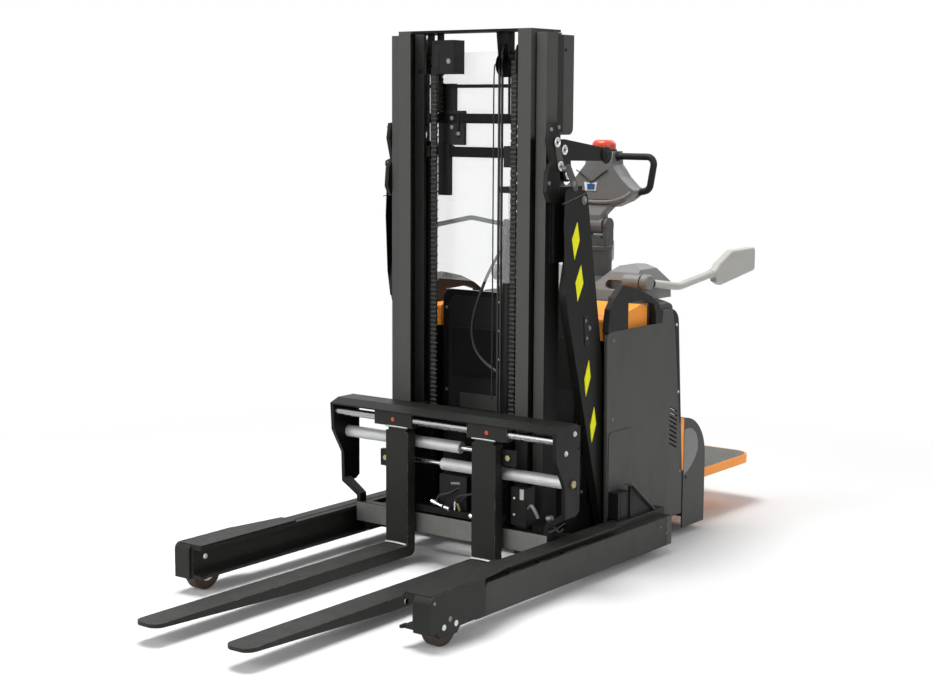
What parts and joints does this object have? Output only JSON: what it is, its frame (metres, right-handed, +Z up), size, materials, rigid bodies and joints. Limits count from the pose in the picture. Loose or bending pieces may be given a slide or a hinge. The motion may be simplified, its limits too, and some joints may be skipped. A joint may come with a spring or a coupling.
{
  "type": "electric straddle stacker with reach mast",
  "caption": "Ride-on electric pallet stacker with straddle legs, a two-stage mast that reaches forward along them, a fork positioner, folding platform, side gates and a tiller.",
  "frame": {"origin": "middle of the overall box at floor level", "axes": "+X towards the fork tips, +Y to the driver's left when facing the forks, +Z up"},
  "size_m": [2.87, 1.084, 1.871],
  "materials": {
    "black_paint": "satin black paint",
    "charcoal_paint": "satin charcoal paint",
    "fork_steel": "dark paint, worn bright at heel and shank top",
    "orange_plastic": "semi-gloss orange",
    "black_plastic": "fine matt texture",
    "grey_plastic": "fine matt texture",
    "light_grey_plastic": "smooth satin",
    "red_plastic": "gloss red-orange",
    "battery_case": "matt black",
    "bare_casting": "painted casting",
    "wheel_tread": "brown polyurethane",
    "platform_rubber": "ribbed matt rubber",
    "clear_sheet": "clear polycarbonate",
    "bright_rod": "hard chrome",
    "silver_barrel": "silver paint",
    "chain_steel": "oiled steel",
    "hose_rubber": "smooth black hose"
  },
  "bodies": {
    "chassis": {"straddle_leg_left": "black_paint", "straddle_leg_right": "black_paint", "base_frame": "black_paint", "battery": "battery_case", "side_panel_left": "charcoal_paint", "side_panel_right": "charcoal_paint", "rear_housing": "charcoal_paint", "wheel_skirt": "grey_plastic", "orange_trim": "orange_plastic", "console": "grey_plastic", "arch_guard": "black_plastic"},
    "battery_lid": {"battery_cover": "orange_plastic"},
    "load_wheel_left": {"load_wheel_left": "wheel_tread"},
    "load_wheel_right": {"load_wheel_right": "wheel_tread"},
    "drive_unit": {"drive_unit": "bare_casting"},
    "drive_wheel": {"drive_wheel": "wheel_tread"},
    "castor_fork": {"castor_fork": "black_paint"},
    "castor_wheel": {"castor_wheel": "wheel_tread"},
    "tiller_yoke": {"tiller_yoke": "grey_plastic"},
    "tiller_arm": {"tiller_arm": "grey_plastic", "tiller_grips": "black_plastic", "stop_button": "red_plastic"},
    "platform": {"platform": "platform_rubber"},
    "side_gate_left": {"side_gate_left": "light_grey_plastic"},
    "side_gate_right": {"side_gate_right": "light_grey_plastic"},
    "mast": {"mast_base": "black_paint", "outer_mast": "charcoal_paint", "mast_guard": "clear_sheet", "lift_barrels": "black_paint", "upper_levers": "black_paint"},
    "reach_arms": {"reach_arm_left": "black_paint", "reach_arm_right": "black_paint"},
    "reach_links": {"reach_link_left": "black_paint", "reach_link_right": "black_paint"},
    "inner_mast": {"inner_mast": "charcoal_paint", "lift_rods": "bright_rod", "lift_chains": "chain_steel", "lift_hoses": "hose_rubber"},
    "carriage": {"fork_carriage": "black_paint", "guide_rod": "bright_rod", "positioner_barrels": "silver_barrel"},
    "fork_left": {"fork_left": "fork_steel", "positioner_rod_left": "bright_rod"},
    "fork_right": {"fork_right": "fork_steel", "positioner_rod_right": "bright_rod"}
  },
  "joints": [
    {"name": "load_wheel_left_spin", "type": "hinge", "parent": "chassis", "child": "load_wheel_left", "pos_m": [0.885, 0.503, 0.0625], "axis": [0, 1, 0], "continuous": true},
    {"name": "load_wheel_right_spin", "type": "hinge", "parent": "chassis", "child": "load_wheel_right", "pos_m": [0.885, -0.503, 0.0625], "axis": [0, 1, 0], "continuous": true},
    {"name": "drive_steer", "type": "hinge", "parent": "chassis", "child": "drive_unit", "pos_m": [-0.715, 0.11, 0.3], "axis": [0, 0, 1], "range_deg": [-90, 90]},
    {"name": "drive_wheel_spin", "type": "hinge", "parent": "drive_unit", "child": "drive_wheel", "pos_m": [-0.715, 0.11, 0.115], "axis": [0, 1, 0], "continuous": true},
    {"name": "castor_swivel", "type": "hinge", "parent": "chassis", "child": "castor_fork", "pos_m": [-0.72, -0.27, 0.3], "axis": [0, 0, 1], "continuous": true},
    {"name": "castor_wheel_spin", "type": "hinge", "parent": "castor_fork", "child": "castor_wheel", "pos_m": [-0.754, -0.27, 0.075], "axis": [0, 1, 0], "continuous": true},
    {"name": "tiller_turn", "type": "hinge", "parent": "chassis", "child": "tiller_yoke", "pos_m": [-0.765, 0, 1.1], "axis": [0, 0, 1], "range_deg": [-90, 90]},
    {"name": "tiller_tilt", "type": "hinge", "parent": "tiller_yoke", "child": "tiller_arm", "pos_m": [-0.765, 0, 1.162], "axis": [0, -1, 0], "range_deg": [-8, 40]},
    {"name": "platform_fold", "type": "hinge", "parent": "chassis", "child": "platform", "pos_m": [-0.925, 0, 0.197], "axis": [0, 1, 0], "range_deg": [0, 85]},
    {"name": "side_gate_left_fold", "type": "hinge", "parent": "chassis", "child": "side_gate_left", "pos_m": [-0.572, 0.335, 0.974], "axis": [0, 1, 0], "range_deg": [0, 80]},
    {"name": "side_gate_right_fold", "type": "hinge", "parent": "chassis", "child": "side_gate_right", "pos_m": [-0.572, -0.335, 0.974], "axis": [0, 1, 0], "range_deg": [0, 80]},
    {"name": "battery_lid_open", "type": "hinge", "parent": "chassis", "child": "battery_lid", "pos_m": [-0.524, 0, 0.914], "axis": [0, -1, 0], "range_deg": [0, 50]},
    {"name": "mast_reach", "type": "slide", "parent": "chassis", "child": "mast", "axis": [1, 0, 0], "range_m": [0, 0.45]},
    {"name": "reach_arm_swing", "type": "hinge", "parent": "chassis", "child": "reach_arms", "pos_m": [-0.257, 0, 0.143], "axis": [0, 1, 0], "range_deg": [0, 24.5]},
    {"name": "reach_link_swing", "type": "hinge", "parent": "reach_arms", "child": "reach_links", "pos_m": [-0.1605, 0, 0.721], "axis": [0, -1, 0], "range_deg": [0, 49]},
    {"name": "mast_lift", "type": "slide", "parent": "mast", "child": "inner_mast", "axis": [0, 0, 1], "range_m": [0, 1.15]},
    {"name": "carriage_lift", "type": "slide", "parent": "inner_mast", "child": "carriage", "axis": [0, 0, 1], "range_m": [0, 1.15]},
    {"name": "fork_left_shift", "type": "slide", "parent": "carriage", "child": "fork_left", "axis": [0, 1, 0], "range_m": [-0.1, 0.18]},
    {"name": "fork_right_shift", "type": "slide", "parent": "carriage", "child": "fork_right", "axis": [0, -1, 0], "range_m": [-0.1, 0.18]}
  ],
  "couplings": [
    {"joint": "tiller_turn", "follows": "drive_steer", "ratio": 1},
    {"joint": "reach_arm_swing", "follows": "mast_reach", "rad_per_m": 0.92286},
    {"joint": "reach_link_swing", "follows": "mast_reach", "rad_per_m": 1.8457},
    {"joint": "carriage_lift", "follows": "mast_lift", "ratio": 1},
    {"joint": "fork_right_shift", "follows": "fork_left_shift", "ratio": 1}
  ]
}
